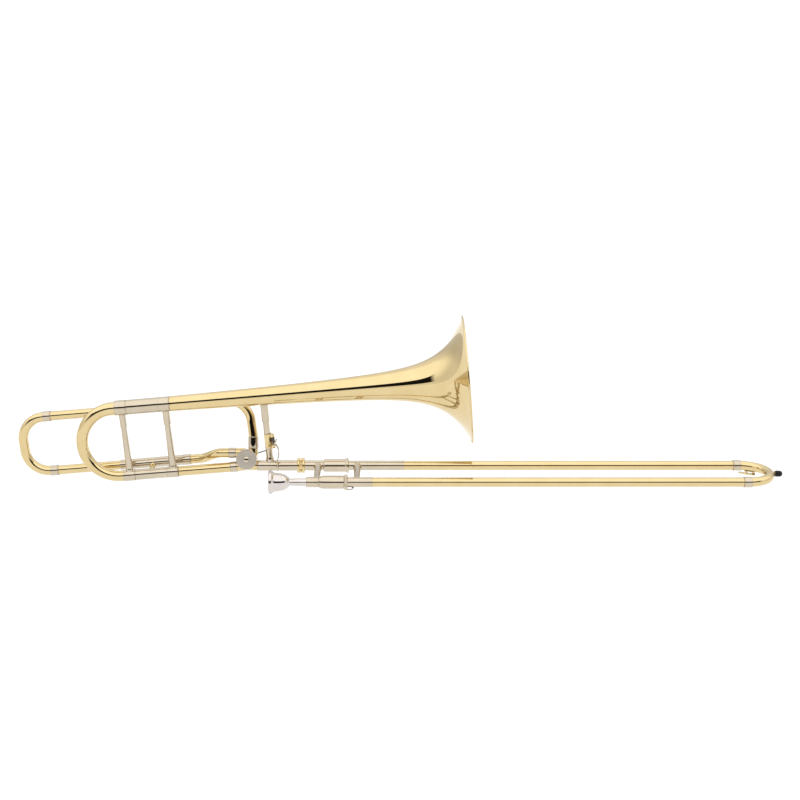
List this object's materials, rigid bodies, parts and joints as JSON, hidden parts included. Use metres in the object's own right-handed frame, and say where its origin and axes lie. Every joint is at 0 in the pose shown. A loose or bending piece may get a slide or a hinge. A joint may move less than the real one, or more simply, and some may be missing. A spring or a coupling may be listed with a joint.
{
  "type": "trombone",
  "caption": "Tenor trombone with a rotary-valve F attachment, telescoping hand slide, tuning slides, thumb lever, water key and a separate mouthpiece.",
  "frame": {"origin": "centre of the lock nut that joins the bell section to the slide section, where the left hand holds the instrument", "axes": "+X along the slide towards its bow and the bell mouth, +Z from the slide towards the bell, mouthpiece tube on the -Y side"},
  "size_m": [1.2883, 0.2158, 0.2867],
  "materials": {
    "brass_lacquer": "polished, clear lacquer",
    "nickel_silver": "polished nickel silver",
    "silver_plate": "mirror-polished silver plate",
    "chrome_tube": "hard chrome",
    "dark_steel": "dark steel",
    "black_rubber": "moulded rubber",
    "natural_cork": "cut cork"
  },
  "bodies": {
    "bell_section": {"bell": "brass_lacquer", "tuning_upper_sleeve": "nickel_silver", "tuning_lower_sleeve": "nickel_silver", "bell_section_brace": "nickel_silver", "lower_main_tube": "brass_lacquer", "lower_main_ferrule": "nickel_silver", "rotor_casing": "brass_lacquer", "rotor_front_cap": "nickel_silver", "rotor_back_plate": "nickel_silver", "stop_plate": "brass_lacquer", "neckpipe": "nickel_silver", "bell_brace": "nickel_silver", "lever_saddle": "brass_lacquer", "lever_spring": "dark_steel", "f_riser_tube": "brass_lacquer", "f_riser_ferrule": "nickel_silver", "f_upper_sleeve": "nickel_silver", "f_lower_sleeve": "nickel_silver", "f_return_tube": "brass_lacquer", "f_return_ferrule": "nickel_silver", "f_stay_lower": "brass_lacquer", "f_stay_upper": "brass_lacquer"},
    "tuning_slide": {"tuning_crook": "brass_lacquer", "tuning_upper_ferrule": "nickel_silver", "tuning_lower_ferrule": "nickel_silver", "tuning_brace": "nickel_silver", "tuning_upper_leg": "brass_lacquer", "tuning_lower_leg": "brass_lacquer"},
    "f_tuning_slide": {"f_crook": "brass_lacquer", "f_upper_ferrule": "nickel_silver", "f_lower_ferrule": "nickel_silver", "f_upper_leg": "brass_lacquer", "f_lower_leg": "brass_lacquer"},
    "rotor": {"rotor_core": "brass_lacquer", "stop_arm": "brass_lacquer"},
    "link_rod": {"link_rod": "dark_steel"},
    "thumb_lever": {"thumb_lever": "nickel_silver"},
    "inner_slide": {"slide_receiver": "nickel_silver", "upper_cork_barrel": "nickel_silver", "lower_cork_barrel": "nickel_silver", "mouthpiece_receiver": "nickel_silver", "inner_brace": "nickel_silver", "upper_inner_tube": "chrome_tube", "lower_inner_tube": "chrome_tube"},
    "lock_nut": {"lock_nut": "brass_lacquer"},
    "slide_lock_ring": {"slide_lock_ring": "nickel_silver"},
    "mouthpiece": {"mouthpiece": "silver_plate"},
    "outer_slide": {"upper_outer_tube": "brass_lacquer", "lower_outer_tube": "brass_lacquer", "upper_outer_sleeve": "nickel_silver", "lower_outer_sleeve": "nickel_silver", "outer_brace": "nickel_silver", "slide_bow": "brass_lacquer", "upper_bow_ferrule": "nickel_silver", "lower_bow_ferrule": "nickel_silver", "bumper_socket": "brass_lacquer", "rubber_bumper": "black_rubber", "water_key_saddle": "brass_lacquer"},
    "water_key": {"water_key": "brass_lacquer", "water_key_cork": "natural_cork"}
  },
  "joints": [
    {"name": "slide_swivel", "type": "hinge", "parent": "bell_section", "child": "inner_slide", "pos_m": [0, 0, 0], "axis": [1, 0, 0], "range_deg": [-25, 25]},
    {"name": "hand_slide", "type": "slide", "parent": "inner_slide", "child": "outer_slide", "axis": [1, 0, 0], "range_m": [0, 0.6]},
    {"name": "lock_nut_turn", "type": "hinge", "parent": "inner_slide", "child": "lock_nut", "pos_m": [0, 0, 0], "axis": [1, 0, 0], "continuous": true},
    {"name": "mouthpiece_pull", "type": "slide", "parent": "inner_slide", "child": "mouthpiece", "axis": [-1, 0, 0], "range_m": [0, 0.04]},
    {"name": "slide_lock_turn", "type": "hinge", "parent": "inner_slide", "child": "slide_lock_ring", "pos_m": [0.0778, -0.087, 0], "axis": [1, 0, 0], "range_deg": [0, 28]},
    {"name": "water_key_hinge", "type": "hinge", "parent": "outer_slide", "child": "water_key", "pos_m": [0.75662, -0.00228, -0.0132], "axis": [0.4695, 0.8829, 0], "range_deg": [0, 16], "stiffness_Nm_per_rad": 0.02, "springref_deg": -28.65},
    {"name": "tuning_slide_pull", "type": "slide", "parent": "bell_section", "child": "tuning_slide", "axis": [-0.9963, 0, -0.0854], "range_m": [0, 0.05]},
    {"name": "f_tuning_slide_pull", "type": "slide", "parent": "bell_section", "child": "f_tuning_slide", "axis": [-0.9963, 0, -0.0854], "range_m": [0, 0.09]},
    {"name": "rotor_turn", "type": "hinge", "parent": "bell_section", "child": "rotor", "pos_m": [-0.0915, 0.00295, 0.00995], "axis": [0, 0.9563, -0.2924], "range_deg": [0, 90], "stiffness_Nm_per_rad": 0.04, "springref_deg": -45.84},
    {"name": "lever_turn", "type": "hinge", "parent": "bell_section", "child": "thumb_lever", "pos_m": [-0.04283, -0.006, 0.0038], "axis": [0.0854, 0, -0.9963], "range_deg": [0, 23]},
    {"name": "link_swivel", "type": "hinge", "parent": "rotor", "child": "link_rod", "pos_m": [-0.10019, 0.0262, 0.00528], "axis": [0, 0.9563, -0.2924], "range_deg": [-84, 0]}
  ],
  "couplings": [
    {"joint": "lever_turn", "follows": "rotor_turn", "ratio": 0.2456},
    {"joint": "link_swivel", "follows": "rotor_turn", "ratio": -0.9161}
  ]
}
